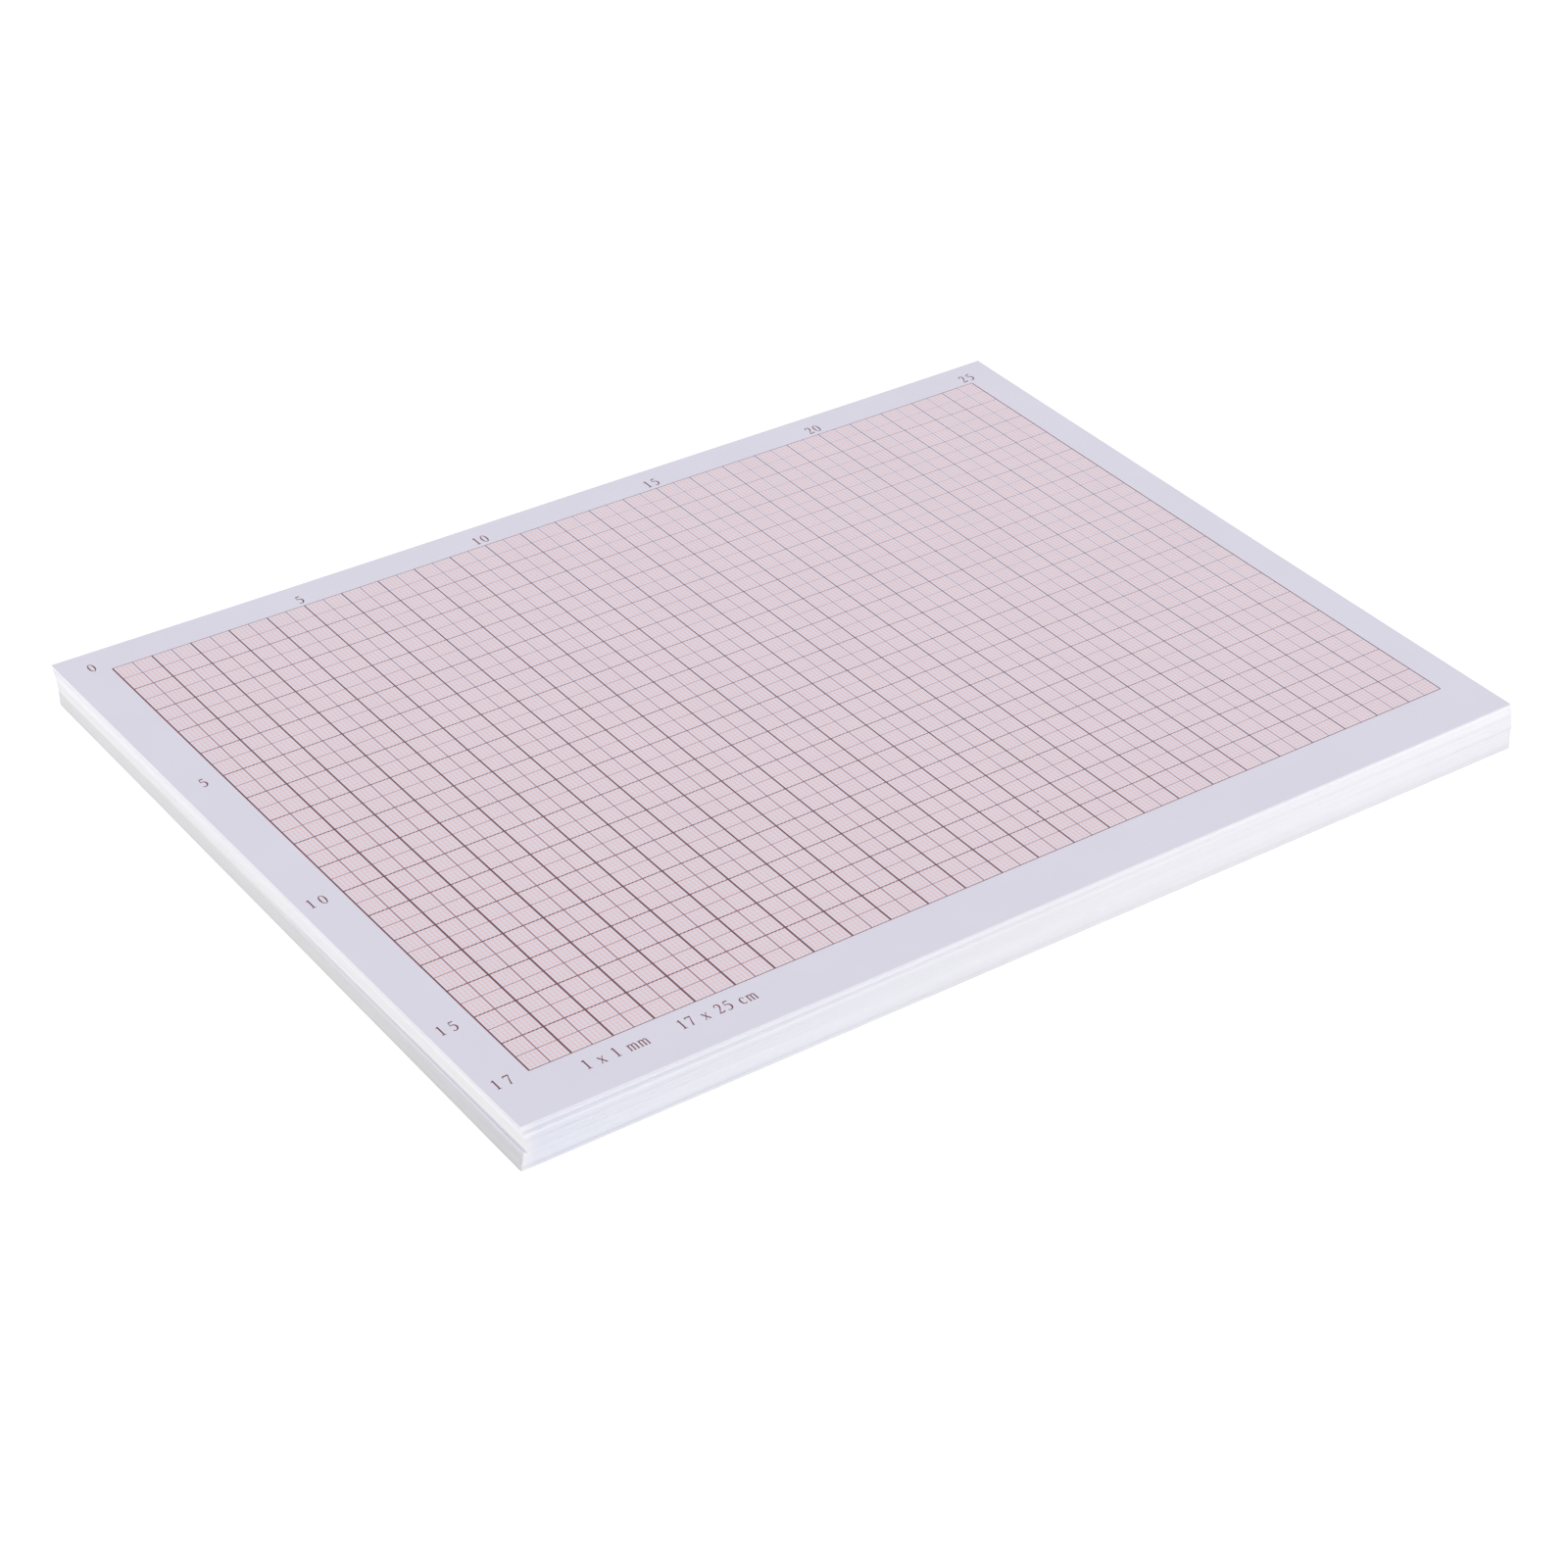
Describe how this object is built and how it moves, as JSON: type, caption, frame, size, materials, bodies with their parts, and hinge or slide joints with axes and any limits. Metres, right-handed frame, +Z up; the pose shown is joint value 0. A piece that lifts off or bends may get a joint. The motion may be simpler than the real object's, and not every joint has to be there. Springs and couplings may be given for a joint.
{
  "type": "millimetre graph paper stack",
  "caption": "Loose stack of paper sheets printed with a reddish millimetre grid and centimetre numbers; sheets lift off one by one.",
  "frame": {"origin": "on the surface the stack lies on, under the middle of the stack's outline", "axes": "+X along the long side, the way the numbers read; +Y along the short side, away from the reader; +Z up through the stack"},
  "size_m": [0.2716, 0.1938, 0.011],
  "materials": {
    "paper": "uncoated white writing paper, smooth and matt, with a slight lavender cast",
    "ink": "thin matt reddish-brown offset ink of the grid, numbers and captions"
  },
  "bodies": {
    "sheet_01": {"sheet_01": "paper"},
    "sheet_02": {"sheet_02": "paper"},
    "sheet_03": {"sheet_03": "paper"},
    "sheet_04": {"sheet_04": "paper"},
    "sheet_05": {"sheet_05": "paper"},
    "sheet_06": {"sheet_06": "paper"},
    "sheet_07": {"sheet_07": "paper"},
    "sheet_08": {"sheet_08": "paper"},
    "sheet_09": {"sheet_09": "paper"},
    "sheet_10": {"sheet_10": "paper"},
    "sheet_11": {"sheet_11": "paper"},
    "sheet_12": {"sheet_12": "paper"},
    "sheet_13": {"sheet_13": "paper"},
    "sheet_14": {"sheet_14": "paper"},
    "sheet_15": {"sheet_15": "paper"},
    "sheet_16": {"sheet_16": "paper"},
    "sheet_17": {"sheet_17": "paper"},
    "sheet_18": {"sheet_18": "paper"},
    "sheet_19": {"sheet_19": "paper"},
    "sheet_20": {"sheet_20": "paper"},
    "sheets_21_to_30": {"sheets_21_to_30": "paper"},
    "sheets_31_to_40": {"sheets_31_to_40": "paper"},
    "sheets_41_to_50": {"sheets_41_to_50": "paper"},
    "sheets_51_to_60": {"sheets_51_to_60": "paper"},
    "sheets_61_to_70": {"sheets_61_to_70": "paper"},
    "sheets_71_to_80": {"sheets_71_to_80": "paper"},
    "sheets_81_to_90": {"sheets_81_to_90": "paper"},
    "sheets_91_to_100": {"sheets_91_to_100": "paper"}
  },
  "joints": [
    {"name": "lift_sheet_01", "type": "slide", "parent": "sheet_02", "child": "sheet_01", "axis": [0, 0, 1], "range_m": [0, 0.025]},
    {"name": "lift_sheet_02", "type": "slide", "parent": "sheet_03", "child": "sheet_02", "axis": [0, 0, 1], "range_m": [0, 0.025]},
    {"name": "lift_sheet_03", "type": "slide", "parent": "sheet_04", "child": "sheet_03", "axis": [0, 0, 1], "range_m": [0, 0.025]},
    {"name": "lift_sheet_04", "type": "slide", "parent": "sheet_05", "child": "sheet_04", "axis": [0, 0, 1], "range_m": [0, 0.025]},
    {"name": "lift_sheet_05", "type": "slide", "parent": "sheet_06", "child": "sheet_05", "axis": [0, 0, 1], "range_m": [0, 0.025]},
    {"name": "lift_sheet_06", "type": "slide", "parent": "sheet_07", "child": "sheet_06", "axis": [0, 0, 1], "range_m": [0, 0.025]},
    {"name": "lift_sheet_07", "type": "slide", "parent": "sheet_08", "child": "sheet_07", "axis": [0, 0, 1], "range_m": [0, 0.025]},
    {"name": "lift_sheet_08", "type": "slide", "parent": "sheet_09", "child": "sheet_08", "axis": [0, 0, 1], "range_m": [0, 0.025]},
    {"name": "lift_sheet_09", "type": "slide", "parent": "sheet_10", "child": "sheet_09", "axis": [0, 0, 1], "range_m": [0, 0.025]},
    {"name": "lift_sheet_10", "type": "slide", "parent": "sheet_11", "child": "sheet_10", "axis": [0, 0, 1], "range_m": [0, 0.025]},
    {"name": "lift_sheet_11", "type": "slide", "parent": "sheet_12", "child": "sheet_11", "axis": [0, 0, 1], "range_m": [0, 0.025]},
    {"name": "lift_sheet_12", "type": "slide", "parent": "sheet_13", "child": "sheet_12", "axis": [0, 0, 1], "range_m": [0, 0.025]},
    {"name": "lift_sheet_13", "type": "slide", "parent": "sheet_14", "child": "sheet_13", "axis": [0, 0, 1], "range_m": [0, 0.025]},
    {"name": "lift_sheet_14", "type": "slide", "parent": "sheet_15", "child": "sheet_14", "axis": [0, 0, 1], "range_m": [0, 0.025]},
    {"name": "lift_sheet_15", "type": "slide", "parent": "sheet_16", "child": "sheet_15", "axis": [0, 0, 1], "range_m": [0, 0.025]},
    {"name": "lift_sheet_16", "type": "slide", "parent": "sheet_17", "child": "sheet_16", "axis": [0, 0, 1], "range_m": [0, 0.025]},
    {"name": "lift_sheet_17", "type": "slide", "parent": "sheet_18", "child": "sheet_17", "axis": [0, 0, 1], "range_m": [0, 0.025]},
    {"name": "lift_sheet_18", "type": "slide", "parent": "sheet_19", "child": "sheet_18", "axis": [0, 0, 1], "range_m": [0, 0.025]},
    {"name": "lift_sheet_19", "type": "slide", "parent": "sheet_20", "child": "sheet_19", "axis": [0, 0, 1], "range_m": [0, 0.025]},
    {"name": "lift_sheet_20", "type": "slide", "parent": "sheets_21_to_30", "child": "sheet_20", "axis": [0, 0, 1], "range_m": [0, 0.025]},
    {"name": "lift_sheets_21_to_30", "type": "slide", "parent": "sheets_31_to_40", "child": "sheets_21_to_30", "axis": [0, 0, 1], "range_m": [0, 0.025]},
    {"name": "lift_sheets_31_to_40", "type": "slide", "parent": "sheets_41_to_50", "child": "sheets_31_to_40", "axis": [0, 0, 1], "range_m": [0, 0.025]},
    {"name": "lift_sheets_41_to_50", "type": "slide", "parent": "sheets_51_to_60", "child": "sheets_41_to_50", "axis": [0, 0, 1], "range_m": [0, 0.025]},
    {"name": "lift_sheets_51_to_60", "type": "slide", "parent": "sheets_61_to_70", "child": "sheets_51_to_60", "axis": [0, 0, 1], "range_m": [0, 0.025]},
    {"name": "lift_sheets_61_to_70", "type": "slide", "parent": "sheets_71_to_80", "child": "sheets_61_to_70", "axis": [0, 0, 1], "range_m": [0, 0.025]},
    {"name": "lift_sheets_71_to_80", "type": "slide", "parent": "sheets_81_to_90", "child": "sheets_71_to_80", "axis": [0, 0, 1], "range_m": [0, 0.025]},
    {"name": "lift_sheets_81_to_90", "type": "slide", "parent": "sheets_91_to_100", "child": "sheets_81_to_90", "axis": [0, 0, 1], "range_m": [0, 0.025]}
  ]
}
